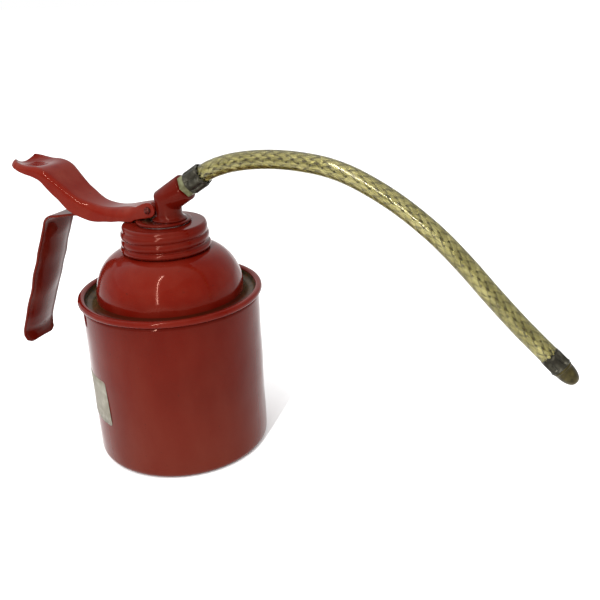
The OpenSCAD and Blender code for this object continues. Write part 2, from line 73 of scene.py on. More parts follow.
# The flexible spout: a clear soft hose over a braid of brassy wire, with a dark inner hose
# inside it. It is bent by hand into an arch and keeps that bend, held by its two sleeves.
def new_finish(name, colour, roughness, metallic=0.0):
    """A material with one shader, to which a finish adds its own pattern."""
    material = bpy.data.materials.new(name)
    material.use_nodes = True
    shader = material.node_tree.nodes["Principled BSDF"]
    shader.inputs["Base Color"].default_value = (*colour, 1)
    shader.inputs["Roughness"].default_value = roughness
    shader.inputs["Metallic"].default_value = metallic
    return material, material.node_tree, shader


def add(tree, kind, inputs=None, **settings):
    """One node of a finish, with its settings and the values of its sockets."""
    node = tree.nodes.new(kind)
    for key, value in settings.items():
        setattr(node, key, value)
    for key, value in (inputs or {}).items():
        if isinstance(value, bpy.types.NodeSocket):
            tree.links.new(value, node.inputs[key])
        else:
            node.inputs[key].default_value = value
    return node


def place_on(tree, size, stretch=(1, 1, 1)):
    """Object coordinates, in units of size millimetres."""
    where = add(tree, "ShaderNodeTexCoord")
    scale = [s / (size * mm) for s in stretch]
    return add(tree, "ShaderNodeMapping", {"Vector": where.outputs["Object"], "Scale": scale})


def speckle(tree, size, detail=3, stretch=(1, 1, 1)):
    """A cloudy pattern with features of about size millimetres."""
    where = place_on(tree, size, stretch)
    return add(tree, "ShaderNodeTexNoise",
               {"Vector": where.outputs["Vector"], "Scale": 1.0, "Detail": detail})


def ramp(tree, factor, stops):
    """A colour ramp through stops of (place, (red, green, blue))."""
    node = add(tree, "ShaderNodeValToRGB", {"Fac": factor})
    while len(node.color_ramp.elements) < len(stops):
        node.color_ramp.elements.new(0.5)
    for element, (place, colour) in zip(node.color_ramp.elements, stops):
        element.position = place
        element.color = (*colour, 1)
    return node


def spread(tree, value, low, high, to_low, to_high):
    """A pattern's values between low and high, turned into another range."""
    return add(tree, "ShaderNodeMapRange", {"Value": value, "From Min": low, "From Max": high,
                                            "To Min": to_low, "To Max": to_high}).outputs[0]


def bumps(tree, shader, height, strength, distance):
    """Raises the surface by a pattern, distance in millimetres at full height."""
    bump = add(tree, "ShaderNodeBump", {"Height": height, "Strength": strength,
                                        "Distance": distance * mm})
    tree.links.new(bump.outputs["Normal"], shader.inputs["Normal"])
    return bump


def make_piece(name, bm, finish, body, smooth=True):
    """Turns a bmesh into a piece that rides on a body."""
    bmesh.ops.remove_doubles(bm, verts=bm.verts, dist=0.002 * mm)
    bmesh.ops.recalc_face_normals(bm, faces=bm.faces)
    mesh = bpy.data.meshes.new(name)
    bm.to_mesh(mesh)
    bm.free()
    mesh.materials.append(finish)
    mesh.polygons.foreach_set("use_smooth", [smooth] * len(mesh.polygons))
    piece = bpy.data.objects.new(name, mesh)
    bpy.context.scene.collection.objects.link(piece)
    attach(piece, body)
    return piece


hose_radius = 4.25
sheath_wall = 0.7
core_radius = 2.8
core_wall = 1.0
in_sleeve = 3.0

elbow_x = 3.4
mitre_point = Vector((elbow_x, 0, 127.8))
spout_rise = math.radians(33)
spout_way = Vector((math.cos(spout_rise), 0, math.sin(spout_rise)))
elbow_reach = 12.6
hexagon_length = 3.4
rear_sleeve_length = 9.2
hose_reach = elbow_reach + hexagon_length + rear_sleeve_length
# The hose's route, by points that its bend was read at, and a smooth curve through them.
hose_knots = [mitre_point + hose_reach * spout_way] + [Vector(p) for p in (
    (35, 0, 146), (47, 0, 148.5), (60, 0, 149.5), (73, 0, 149), (86, 0, 147), (99, 0, 142.5),
    (115, 0, 134), (131, 0, 122.5), (144, 0, 110.5), (156, 0, 98), (168, 0, 86), (180, 0, 75))]
tip_way = (hose_knots[-1] - hose_knots[-2]).normalized()
pulls = [spout_way * (hose_knots[1] - hose_knots[0]).length]
pulls += [(hose_knots[i + 1] - hose_knots[i - 1]) / 2 for i in range(1, len(hose_knots) - 1)]
pulls += [tip_way * (hose_knots[-1] - hose_knots[-2]).length]
points_between = 60
hose_line = [hose_knots[0]]
for i in range(len(hose_knots) - 1):
    a, b = hose_knots[i], hose_knots[i + 1]
    hose_line += interpolate_bezier(a, a + pulls[i] / 3, b - pulls[i + 1] / 3, b,
                                    points_between)[1:]
hose_along = [0.0]
for a, b in zip(hose_line, hose_line[1:]):
    hose_along.append(hose_along[-1] + (b - a).length)
hose_length = hose_along[-1]


def hose_centre(s):
    """The point on the hose's centre line at s millimetres from the sleeve, and its way on."""
    if s <= 0:
        return hose_line[0] + s * spout_way, spout_way
    if s >= hose_length:
        return hose_line[-1] + (s - hose_length) * tip_way, tip_way
    low, high = 0, len(hose_along) - 1
    while high - low > 1:
        middle = (low + high) // 2
        if hose_along[middle] <= s:
            low = middle
        else:
            high = middle
    share = (s - hose_along[low]) / (hose_along[high] - hose_along[low])
    before = hose_line[max(low - 3, 0)]
    after = hose_line[min(high + 3, len(hose_line) - 1)]
    return hose_line[low].lerp(hose_line[high], share), (after - before).normalized()


def on_hose(s, angle, radius):
    """A point round the hose. Angle 0 is the side at -Y, and it grows towards the top."""
    centre, way = hose_centre(s)
    up = Vector((-way.z, 0, way.x))
    out = Vector((0, -math.cos(angle), 0)) + math.sin(angle) * up
    return (centre + radius * out) * mm


def lengthened(bm, ring):
    """Extrudes a ring of edges. Gives the new ring's points and its edges."""
    grown = bmesh.ops.extrude_edge_only(bm, edges=ring)["geom"]
    points = [g for g in grown if isinstance(g, bmesh.types.BMVert)]
    edges = [g for g in grown if isinstance(g, bmesh.types.BMEdge)
             and g.verts[0] in points and g.verts[1] in points]
    return points, edges


def hose_tube(name, radius, wall, finish, spacing, sides):
    """A tube along the hose and a little way into both sleeves, with its bore."""
    bm = bmesh.new()
    start, end = -in_sleeve, hose_length + in_sleeve
    steps = round((end - start) / spacing)
    for r in (radius, radius - wall):
        points = bmesh.ops.create_circle(bm, segments=sides, radius=1)["verts"]
        ring = list({e for v in points for e in v.link_edges})
        angles = [math.atan2(v.co.y, v.co.x) for v in points]
        for v, angle in zip(points, angles):
            v.co = on_hose(start, angle, r)
        for i in range(steps):
            points, ring = lengthened(bm, ring)
            a, way_a = hose_centre(start + (end - start) * i / steps)
            b, way_b = hose_centre(start + (end - start) * (i + 1) / steps)
            bend = math.atan2(way_a.z, way_a.x) - math.atan2(way_b.z, way_b.x)
            bmesh.ops.rotate(bm, verts=points, cent=a * mm, matrix=Matrix.Rotation(bend, 3, "Y"))
            bmesh.ops.translate(bm, verts=points, vec=(b - a) * mm)
    open_edges = [e for e in bm.edges if e.is_boundary]
    near = [e for e in open_edges
            if (e.verts[0].co / mm - hose_centre(start)[0]).length < 2 * radius]
    far = [e for e in open_edges if e not in near]
    bmesh.ops.bridge_loops(bm, edges=near)
    bmesh.ops.bridge_loops(bm, edges=far)
    return make_piece(name, bm, finish, "head")


clear_vinyl, tree, shader = new_finish("clear_vinyl", (0.93, 0.92, 0.85), 0.12)
shader.inputs["Transmission Weight"].default_value = 1.0
shader.inputs["Specular Tint"].default_value = (1, 0.92, 0.62, 1)
shader.inputs["IOR"].default_value = 1.45
haze = speckle(tree, 6, 4)
tree.links.new(spread(tree, haze.outputs["Fac"], 0.35, 0.75, 0.06, 0.22),
               shader.inputs["Roughness"])
bumps(tree, shader, haze.outputs["Fac"], 0.3, 0.05)

sheath = hose_tube("hose_sheath", hose_radius, sheath_wall, clear_vinyl, 1.4, 48)
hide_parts("spout_hose")

inner_rubber, tree, shader = new_finish("inner_rubber", (0.05, 0.04, 0.012), 0.7)
shader.inputs["Specular IOR Level"].default_value = 0.1
stain = speckle(tree, 5, 4)
tone = ramp(tree, stain.outputs["Fac"], [(0.3, (0.08, 0.055, 0.005)), (0.7, (0.14, 0.1, 0.012))])
tree.links.new(tone.outputs["Color"], shader.inputs["Base Color"])
core = hose_tube("hose_core", core_radius, core_wall, inner_rubber, 2.5, 24)


# The braid: six flat bands of five brassy wires each way round, woven over and under. It was
# pulled open along one line, where the bands lie narrower and the dark hose shows through.
braid_radius = 3.2
band_lead = 33.0
bands_each_way = 6
band_share = 1.12
band_thickness = 0.12
wires_in_band = 5
wire_height = 0.07
weave_height = 0.15
drawn_in = 0.6
drawn_width = 0.68
braid_start = -2.5
braid_end = hose_length + 2.5


def braid_line(s):
    """The angle round the hose of the line of open gaps, which starts low at the sleeve."""
    along_hose, below_at_sleeve, settles_in = 27, 49, 18
    return math.radians(along_hose - below_at_sleeve * math.exp(-s / settles_in))


def flattened(wave):
    """A wave from -1 to 1 with flat tops and quick crossings, as bands lie in a weave."""
    return wave / math.sqrt(wave * wave + 0.05)


braid_wire, tree, shader = new_finish("braid_wire", (0.32, 0.28, 0.12), 0.3, 1.0)
tint = speckle(tree, 7, 3)
tone = ramp(tree, tint.outputs["Fac"], [(0.25, (0.17, 0.15, 0.04)), (0.5, (0.29, 0.26, 0.09)),
                                        (0.8, (0.44, 0.4, 0.18))])
tree.links.new(tone.outputs["Color"], shader.inputs["Base Color"])
fine = speckle(tree, 0.8, 2)
bumps(tree, shader, fine.outputs["Fac"], 0.35, 0.06)

braid = bmesh.new()
band_angle = 2 * math.pi / bands_each_way
for way_round in (1, -1):
    for band in range(bands_each_way):
        strip = bmesh.new()
        bmesh.ops.create_grid(strip, x_segments=330, y_segments=10, size=0.5)
        bmesh.ops.solidify(strip, geom=strip.faces[:], thickness=0.1)
        for v in strip.verts:
            s = braid_start + (braid_end - braid_start) * (v.co.x + 0.5)
            across = v.co.y
            under = abs(v.co.z) > 0.05
            turned_by = 2 * math.pi * s / band_lead
            middle = way_round * turned_by + band * band_angle
            off_line = (middle + math.pi) % (2 * math.pi) - math.pi
            narrow = 1 - drawn_in * math.exp(-(off_line / drawn_width) ** 2)
            angle = middle + across * band_share * narrow * band_angle
            weave = (flattened(math.cos(bands_each_way / 2 * (angle - turned_by)))
                     * flattened(math.cos(bands_each_way / 2 * (angle + turned_by))))
            wires = wire_height * abs(math.sin(wires_in_band * math.pi * (across + 0.5)))
            radius = braid_radius + way_round * weave_height * weave
            radius += -band_thickness if under else wires
            v.co = on_hose(s, angle + braid_line(s), radius)
        half = bpy.data.meshes.new("band")
        strip.to_mesh(half)
        strip.free()
        braid.from_mesh(half)
        bpy.data.meshes.remove(half)
braid_piece = make_piece("hose_braid", braid, braid_wire, "head")


# The two sleeves that hold the hose: short tubes of dark steel, slipped over the hose's ends
# and squeezed by the six jaws of a crimping press, which leave wide lobes with dark valleys.
def turned(outline, rounds=(), steps=144, spacing=0.0):
    """Spins a closed outline of (radius, height) corners round Z. Each of rounds is a corner's
    number, how far back its rounding starts, and its number of segments."""
    bm = bmesh.new()
    corners = [bm.verts.new((r * mm, 0, z * mm)) for r, z in outline]
    bm.faces.new(corners)
    for number, back, parts in rounds:
        bmesh.ops.bevel(bm, geom=[corners[number]], offset=back * mm, affect="VERTICES",
                        segments=parts, profile=0.5, material=-1)
    bmesh.ops.delete(bm, geom=bm.faces[:], context="FACES_ONLY")
    if spacing:
        for edge in [e for e in bm.edges if e.calc_length() > 1.5 * spacing * mm]:
            cuts = int(edge.calc_length() / (spacing * mm))
            bmesh.ops.subdivide_edges(bm, edges=[edge], cuts=cuts)
    bmesh.ops.spin(bm, geom=bm.verts[:] + bm.edges[:], axis=(0, 0, 1), cent=(0, 0, 0),
                   angle=2 * math.pi, steps=steps, use_merge=True)
    bmesh.ops.remove_doubles(bm, verts=bm.verts, dist=0.002 * mm)
    return bm


def set_along(bm, point, way):
    """Moves a part that was made upright at the origin to a point, with its top along way."""
    tilt = math.pi / 2 - math.atan2(way.z, way.x)
    place = Matrix.Translation(point * mm) @ Matrix.Rotation(tilt, 4, "Y")
    bmesh.ops.transform(bm, matrix=place, verts=bm.verts)


def ease(x, low, high):
    """Goes smoothly from 0 at low to 1 at high."""
    t = min(max((x - low) / (high - low), 0.0), 1.0)
    return t * t * (3 - 2 * t)


sleeve_steel, tree, shader = new_finish("sleeve_steel", (0.1, 0.09, 0.08), 0.42, 0.85)
grime = speckle(tree, 2.6, 5)
tone = ramp(tree, grime.outputs["Fac"], [
    (0.3, (0.016, 0.014, 0.009)), (0.55, (0.036, 0.033, 0.023)), (0.8, (0.1, 0.095, 0.075))])
tree.links.new(tone.outputs["Color"], shader.inputs["Base Color"])
tree.links.new(spread(tree, grime.outputs["Fac"], 0.3, 0.7, 0.55, 0.3),
               shader.inputs["Roughness"])
bumps(tree, shader, grime.outputs["Fac"], 0.5, 0.12)


sleeve_bore = 4.32
hole_radius = 2.1
mouth_depth = 3.4
squeezed_by = 1.25
lip_by = 0.55
bite_depth = 0.7
front_sleeve_length = 7.6


def crimped_sleeve(radius, length):
    """A sleeve with its mouth for the hose at its top, and with a bitten edge there."""
    bm = turned([(hole_radius, 0), (radius, 0), (radius, length), (sleeve_bore, length),
                 (sleeve_bore, length - mouth_depth), (hole_radius, length - mouth_depth)],
                [(1, 0.6, 3), (2, 0.3, 3)], 144, 0.4)
    skin = sleeve_bore + 0.08
    for v in bm.verts:
        r = math.hypot(v.co.x, v.co.y) / mm
        z = v.co.z / mm
        angle = math.atan2(v.co.y, v.co.x)
        if r > skin:
            valley = 1 - abs(math.cos(3 * angle + 0.4))
            squeezed = squeezed_by * valley ** 1.3 * ease(z, 0.3, 1.4)
            squeezed *= 1 - ease(z, length - 2, length - 0.8)
            lip = lip_by * ease(z, length - 1.5, length - 0.9)
            share = min((r - skin) / (radius - skin), 1)
            shrunk = 1 - (squeezed + lip) * share / r
            v.co.x *= shrunk
            v.co.y *= shrunk
        if z > length - 0.9:
            bite = 0.5 - 0.5 * math.cos(12 * angle)
            v.co.z -= bite_depth * mm * bite * ease(z, length - 0.9, length)
    return bm


rear = crimped_sleeve(5.6, rear_sleeve_length)
set_along(rear, mitre_point + (elbow_reach + hexagon_length) * spout_way, spout_way)
rear_sleeve = make_piece("rear_sleeve", rear, sleeve_steel, "head")
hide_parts("rear_ferrule")

front = crimped_sleeve(4.8, front_sleeve_length)
set_along(front, hose_line[-1] + front_sleeve_length * tip_way, -tip_way)
front_sleeve = make_piece("front_sleeve", front, sleeve_steel, "head")
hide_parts("front_ferrule")

# The brass ends of the spout: a turned nozzle with a small hole, pressed into the front
# sleeve, and the hexagon that screws the hose into the elbow. Both are tarnished.
nozzle_brass, tree, shader = new_finish("nozzle_brass", (0.16, 0.13, 0.04), 0.4, 0.75)
tarnish = speckle(tree, 3.5, 4)
tone = ramp(tree, tarnish.outputs["Fac"], [
    (0.3, (0.016, 0.012, 0.003)), (0.55, (0.045, 0.035, 0.009)), (0.8, (0.1, 0.082, 0.025))])
tree.links.new(tone.outputs["Color"], shader.inputs["Base Color"])
tree.links.new(spread(tree, tarnish.outputs["Fac"], 0.3, 0.7, 0.5, 0.28),
               shader.inputs["Roughness"])
bumps(tree, shader, tarnish.outputs["Fac"], 0.3, 0.06)

nozzle_hole = 0.8
nozzle_tail = 1.95
nozzle_length = 15.9
flank = [(1.0 + 3.1 * math.cos(math.radians(a)), 8.6 + 7.41 * math.sin(math.radians(a)))
         for a in range(0, 81, 8)]
nozzle = turned([(nozzle_hole, 0.2), (nozzle_tail, 0.2), (nozzle_tail, front_sleeve_length),
                 (4.35, front_sleeve_length), (4.35, 8.5)] + flank
                + [(nozzle_hole, nozzle_length)], [(3, 0.25, 3), (4, 0.25, 3)], 96)
set_along(nozzle, hose_line[-1], tip_way)
nozzle_piece = make_piece("turned_nozzle", nozzle, nozzle_brass, "head")
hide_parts("spout_nozzle")

gland_metal, tree, shader = new_finish("gland_metal", (0.24, 0.25, 0.14), 0.5, 0.3)
tarnish = speckle(tree, 3, 4)
tone = ramp(tree, tarnish.outputs["Fac"], [(0.3, (0.05, 0.045, 0.015)), (0.5, (0.1, 0.1, 0.045)),
                                           (0.8, (0.18, 0.19, 0.1))])
tree.links.new(tone.outputs["Color"], shader.inputs["Base Color"])
bumps(tree, shader, tarnish.outputs["Fac"], 0.35, 0.08)

hexagon = bmesh.new()
hexagon_radius = 5.62
bmesh.ops.create_cone(hexagon, cap_ends=True, segments=6, radius1=hexagon_radius * mm,
                      radius2=hexagon_radius * mm, depth=(hexagon_length - 0.04) * mm)
bmesh.ops.bevel(hexagon, geom=hexagon.edges[:], offset=0.3 * mm, affect="EDGES", segments=3,
                profile=0.5, material=-1)
bmesh.ops.translate(hexagon, verts=hexagon.verts, vec=(0, 0, hexagon_length / 2 * mm))
set_along(hexagon, mitre_point + elbow_reach * spout_way, spout_way)
hexagon_piece = make_piece("gland_hexagon", hexagon, gland_metal, "head", smooth=False)
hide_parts("hose_gland")


# The can: a cup drawn from sheet steel, with a small round corner round its flat base and
# gloss red enamel outside. The sheet is thin, and years in a workshop have left it wavy.
def mixed(tree, factor, first, second):
    """Two colours of a finish, the second laid over the first by a factor."""
    return add(tree, "ShaderNodeMix", {0: factor, 6: first, 7: second},
               data_type="RGBA").outputs[2]


def red_enamel(name, depth, film, chips, streaks, foot_film_and_sheen=0.0, chip_at=None):
    """Gloss red enamel with a brown film of old oil, and dark specks where it is chipped. Where
    a share for the foot is given, the film grows towards the foot: partly a real oil film,
    partly a painted reflection of the white floor, which lightens the foot. chip_at is a chip
    down to the steel. depth sets how bright the part's red and film are painted: painted light
    and shade, brightest on the lever and the dome, darkest on the elbow and the wall."""
    paint, tree, shader = new_finish(name, (0.125, 0.006, 0.004), 0.2)
    shader.inputs["IOR"].default_value = 1.22
    shader.inputs["Specular Tint"].default_value = (1, 0.52, 0.4, 1)
    cloud = speckle(tree, 30, 4)
    reds = [(0.3, (0.112, 0.0036, 0.0014)), (0.55, (0.135, 0.0058, 0.0024)),
            (0.8, (0.15, 0.011, 0.005))]
    # Painted light and shade: depth makes this part's red, and its brown film, lighter or
    # darker.
    tone = ramp(tree, cloud.outputs["Fac"],
                [(at, tuple(depth * part for part in red)) for at, red in reds])
    oily = speckle(tree, 13, 5, (1, 1, streaks))
    share = spread(tree, oily.outputs["Fac"], 0.4, 0.8, 0.0, film)
    # Towards the foot the brown film grows: partly a real oil film, partly a painted reflection
    # of the white floor that lightens the foot.
    if foot_film_and_sheen:
        height = add(tree, "ShaderNodeSeparateXYZ",
                     {0: add(tree, "ShaderNodeTexCoord").outputs["Object"]}).outputs["Z"]
        lower = spread(tree, height, 78 * mm, 0.0, 0.0, foot_film_and_sheen)
        share = add(tree, "ShaderNodeMath", {0: share, 1: lower}, operation="ADD",
                    use_clamp=True).outputs[0]
    brown = (0.2 * depth, 0.04 * depth, 0.024 * depth, 1)
    colour = mixed(tree, share, tone.outputs["Color"], brown)
    specks = speckle(tree, 1.5, 2)
    chipped = spread(tree, specks.outputs["Fac"], 0.72, 0.75, 0.0, chips)
    colour = mixed(tree, chipped, colour, (0.03, 0.007, 0.005, 1))
    if chip_at:
        away_from = add(tree, "ShaderNodeVectorMath", {
            0: add(tree, "ShaderNodeTexCoord").outputs["Object"],
            1: tuple(c * mm for c in chip_at)}, operation="DISTANCE").outputs["Value"]
        ragged = add(tree, "ShaderNodeMath", {0: specks.outputs["Fac"], 1: 2.5 * mm},
                     operation="MULTIPLY").outputs[0]
        edge = add(tree, "ShaderNodeMath", {0: away_from, 1: ragged}, operation="ADD").outputs[0]
        bare = spread(tree, edge, 1.9 * mm, 2.2 * mm, 0.8, 0.0)
        colour = mixed(tree, bare, colour, (0.16, 0.11, 0.07, 1))
    tree.links.new(colour, shader.inputs["Base Color"])
    tree.links.new(spread(tree, oily.outputs["Fac"], 0.35, 0.75, 0.06, 0.22),
                   shader.inputs["Roughness"])
    peel = speckle(tree, 1.1, 2)
    bumps(tree, shader, peel.outputs["Fac"], 0.25, 0.03)
    return paint


def wavy(bm, amount, size, part):
    """Pushes the outer skin in and out a little, by part of a point's radius and height."""
    for v in bm.verts:
        r = math.hypot(v.co.x, v.co.y)
        share = part(r / mm, v.co.z / mm)
        if share:
            push = noise.noise(v.co / (size * mm)) + 0.4 * noise.noise(v.co / (0.45 * size * mm))
            grown = 1 + share * amount * mm * push / r
            v.co.x *= grown
            v.co.y *= grown


# The enamel's depth paints the wall darker than the dome, as painted shade, and its film at the
# foot is partly a painted reflection of the floor.
can_paint = red_enamel("can_enamel", 0.51, 0.25, 0.5, 0.35, foot_film_and_sheen=0.45)
can_radius = 43.3
can_sheet = 0.8
can_inside = can_radius - can_sheet
can_top = 80.35
base_rise = 0.5
can = turned([(0, base_rise), (36, base_rise), (37.2, 0), (can_radius, 0), (can_radius, can_top),
              (can_inside, can_top), (can_inside, can_sheet), (37.5, can_sheet),
              (36.3, base_rise + can_sheet), (0, base_rise + can_sheet)],
             [(3, 3.5, 9), (6, 2.7, 6), (2, 0.5, 3)], 180, 2.4)
wavy(can, 0.22, 19, lambda r, z: ease(z, 2, 9) * (1 - ease(z, 74, 80)) if r > 42 else 0)
can_piece = make_piece("can_wall", can, can_paint, "can")
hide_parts("can_body")

# The paper label on the can's side is left blank: a small sheet with round corners, glued
# round the wall, faded and a little oily.
label_paper, tree, shader = new_finish("label_paper", (0.2, 0.18, 0.14), 0.6)
fibre = speckle(tree, 4, 5)
tone = ramp(tree, fibre.outputs["Fac"], [
    (0.3, (0.11, 0.095, 0.065)), (0.5, (0.16, 0.145, 0.11)), (0.75, (0.23, 0.215, 0.17))])
tree.links.new(tone.outputs["Color"], shader.inputs["Base Color"])
grain = speckle(tree, 0.5, 3)
bumps(tree, shader, grain.outputs["Fac"], 0.3, 0.03)

label_width = 38.0
label_height = 23.5
label_thickness = 0.12
label_radius = 43.4
label_middle = 35.75
label_angle = math.radians(-135)
label_lean = 0.06
label = bmesh.new()
bmesh.ops.create_grid(label, x_segments=1, y_segments=1, size=0.5 * mm)
bmesh.ops.scale(label, verts=label.verts, vec=(label_width, label_height, 1))
bmesh.ops.bevel(label, geom=label.verts[:], offset=1.8 * mm, affect="VERTICES", segments=5,
                profile=0.5, material=-1)
for size, across, parts in ((label_width, (1, 0, 0), 20), (label_height, (0, 1, 0), 6)):
    for i in range(1, parts):
        bmesh.ops.bisect_plane(label, geom=label.verts[:] + label.edges[:] + label.faces[:],
                               plane_co=(i / parts - 0.5) * size * mm * Vector(across),
                               plane_no=across, dist=0.0001 * mm)
bmesh.ops.solidify(label, geom=label.faces[:], thickness=label_thickness * mm)
for v in label.verts:
    x, y, z = v.co / mm
    radius = label_radius + label_thickness - abs(z)
    radius += 0.1 * noise.noise(Vector((x, y, 0)) / 7)
    angle = label_angle + (x - label_lean * y) / label_radius
    v.co = Vector((radius * math.cos(angle), radius * math.sin(angle), label_middle + y)) * mm
make_piece("blank_label", label, label_paper, "can")

# The shoulder: pressed from one sheet into the neck, the dome and the round gutter, its edge
# rolled over the can's wall into a bead. Old oil has dried to a brown crust in the gutter. At
# the gutter's front the crust gives way to a red darker than the enamel: painted shade in the
# groove.
# The shoulder's enamel is painted brighter than the wall's: painted light where it faces up.
shoulder_paint = red_enamel("shoulder_enamel", 0.68, 0.25, 0.6, 1.0, chip_at=(-9.5, -28.5, 92.3))
oil_crust_and_shade, tree, shader = new_finish("oil_crust_and_shade", (0.045, 0.026, 0.009), 0.3)
crust = speckle(tree, 4, 5)
tone = ramp(tree, crust.outputs["Fac"], [
    (0.3, (0.02, 0.012, 0.003)), (0.55, (0.055, 0.03, 0.008)), (0.8, (0.1, 0.028, 0.009))])
shader.inputs["Specular IOR Level"].default_value = 0.15
forward = add(tree, "ShaderNodeVectorMath", {
    0: add(tree, "ShaderNodeTexCoord").outputs["Object"], 1: (0.56, -0.83, 0)},
    operation="DOT_PRODUCT").outputs["Value"]
# Painted shade: towards the front the gutter turns a red darker than the enamel.
front_shade = spread(tree, forward, 0.0, 0.02, 0.0, 0.95)
colour = mixed(tree, front_shade, tone.outputs["Color"], (0.05, 0.005, 0.002, 1))
tree.links.new(colour, shader.inputs["Base Color"])
bumps(tree, shader, crust.outputs["Fac"], 0.6, 0.3)

neck_inside = 18.5
neck_top = 112.7
dome_width = 16.7
dome_rise = 20.8
dome_foot = 82
dome_side = 36
rim_radius = 45
rim_inside = 41.7
rim_top = 83.4
rim_foot = 80.4
gutter_floor = 78.55
pressed_sheet = 0.8
quarter = [math.radians(a) for a in range(0, 91, 5)]
outer_dome = [(neck_inside + pressed_sheet + dome_width * math.cos(q),
               dome_foot + (dome_rise + pressed_sheet) * math.sin(q)) for q in reversed(quarter)]
inner_dome = [(neck_inside + dome_width * math.cos(q), dome_foot + dome_rise * math.sin(q))
              for q in quarter]
outline = [(neck_inside, neck_top), (neck_inside + pressed_sheet, neck_top)] + outer_dome + [
    (dome_side, gutter_floor), (rim_inside, gutter_floor), (rim_inside, rim_top),
    (rim_radius, rim_top), (rim_radius, rim_foot), (can_inside, rim_foot),
    (can_inside, gutter_floor - pressed_sheet),
    (dome_side - pressed_sheet, gutter_floor - pressed_sheet)] + inner_dome
first = 2 + len(outer_dome)
shoulder = turned(outline, [(first, 2.84, 9), (first + 1, 2.84, 9), (first + 2, 1.25, 6),
                            (first + 3, 1.3, 6), (first + 4, 1.3, 6), (first + 6, 2.6, 8),
                            (first + 7, 2.6, 8), (2, 0.45, 4)], 192, 1.7)
wavy(shoulder, 0.26, 11, lambda r, z: ease(z, 83, 87) * (1 - ease(z, 99, 103)))
wavy(shoulder, 0.1, 9, lambda r, z: 1 if z < 84 and r > 41.5 else 0)
shoulder_piece = make_piece("shoulder_and_rim", shoulder, shoulder_paint, "can")
shoulder_piece.data.materials.append(oil_crust_and_shade)
for face in shoulder_piece.data.polygons:
    away_from_axis = math.hypot(face.center.x, face.center.y) / mm
    in_gutter = dome_side - 0.1 < away_from_axis < rim_inside + 0.05
    if in_gutter and face.center.z < 81.9 * mm:
        face.material_index = 1
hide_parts("can_shoulder")


# The pump inside keeps the shapes it was built with: a die-cast head with its barrel, brass
# piston and valve, leather packing, and steel rod, tube, balls and return spring.
def worked_finish(name, dark, light, size, rough, metallic, depth, stretch=(1, 1, 1)):
    """A finish with clouds from one colour to another and marks of its working."""
    finish, tree, shader = new_finish(name, light, rough, metallic)
    marks = speckle(tree, size, 5, stretch)
    tone = ramp(tree, marks.outputs["Fac"], [(0.3, dark), (0.7, light)])
    tree.links.new(tone.outputs["Color"], shader.inputs["Base Color"])
    tree.links.new(spread(tree, marks.outputs["Fac"], 0.3, 0.7, rough + 0.12, rough - 0.08),
                   shader.inputs["Roughness"])
    bumps(tree, shader, marks.outputs["Fac"], 0.4, depth)
    return finish


cast_alloy = worked_finish("cast_alloy", (0.24, 0.24, 0.23), (0.5, 0.5, 0.48),
                           1.2, 0.55, 0.9, 0.1)
inner_brass = worked_finish("inner_brass", (0.3, 0.23, 0.07), (0.62, 0.5, 0.2),
                            4, 0.35, 1.0, 0.03)
bright_steel = worked_finish("bright_steel", (0.35, 0.35, 0.34), (0.62, 0.62, 0.6),
                             3, 0.28, 1.0, 0.02, (1, 1, 0.15))
soft_rubber = worked_finish("soft_rubber", (0.015, 0.014, 0.013), (0.045, 0.042, 0.038),
                            3, 0.7, 0.0, 0.06)
oiled_leather = worked_finish("oiled_leather", (0.05, 0.024, 0.01), (0.16, 0.085, 0.035),
                              1.6, 0.6, 0.0, 0.15)
gland_olive = worked_finish("gland_olive", (0.1, 0.085, 0.03), (0.24, 0.21, 0.1),
                            1.8, 0.4, 0.6, 0.05)
for nodes, finish in (
        (("pump_head",), cast_alloy),
        (("piston", "piston_nut", "foot_valve_body"), inner_brass),
        (("rod_gland",), gland_olive),
        (("plunger_rod", "return_spring", "foot_valve_ball", "ball_stop_pin", "suction_tube",
          "delivery_ball"), bright_steel),
        (("neck_gasket",), soft_rubber),
        (("rod_seal", "cup_washer"), oiled_leather)):
    for name in nodes:
        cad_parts[name].data.materials.clear()
        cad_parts[name].data.materials.append(finish)

# The delivery valve's spring, a light coil in the elbow's foot.
spring_low = 103.25
spring_high = 111.31
spring_wire = 0.5
coil_radius = 1.9
coil_turns = 5
turn_steps = 24
rise = (spring_high - spring_low - spring_wire) / (coil_turns * turn_steps)
spring = bmesh.new()
bmesh.ops.create_circle(spring, segments=10, radius=spring_wire / 2 * mm, cap_ends=True)
bmesh.ops.rotate(spring, verts=spring.verts, matrix=Matrix.Rotation(math.pi / 2, 3, "X"))
bmesh.ops.translate(spring, verts=spring.verts,
                    vec=Vector((elbow_x + coil_radius, 0, spring_low + spring_wire / 2)) * mm)
bmesh.ops.spin(spring, geom=spring.verts[:] + spring.edges[:] + spring.faces[:],
               cent=(elbow_x * mm, 0, 0), axis=(0, 0, 1), dvec=(0, 0, rise * mm),
               angle=2 * math.pi * coil_turns, steps=coil_turns * turn_steps)
spring_piece = make_piece("valve_spring", spring, bright_steel, "head")
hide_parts("delivery_spring")
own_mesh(spring_piece)

# The screw cap: pressed from sheet and enamelled, with a flat top round the pump's boss and
# a wall that was rolled into the thread, over a wider bead at its foot.
# The cap's red is painted at its own brightness: painted light and shade.
cap_paint = red_enamel("cap_enamel", 0.56, 0.3, 0.55, 1.0)
cap_radius = 20.3
cap_top = 116.8
cap_foot = 104.2
cap_sheet = 0.7
boss_hole = 12.3
pitch = 3.8
thread_middle = 109.3
thread_depth = 0.92
thread_front = math.radians(-56)
foot_bead = 105.5
bead_size = 1.5


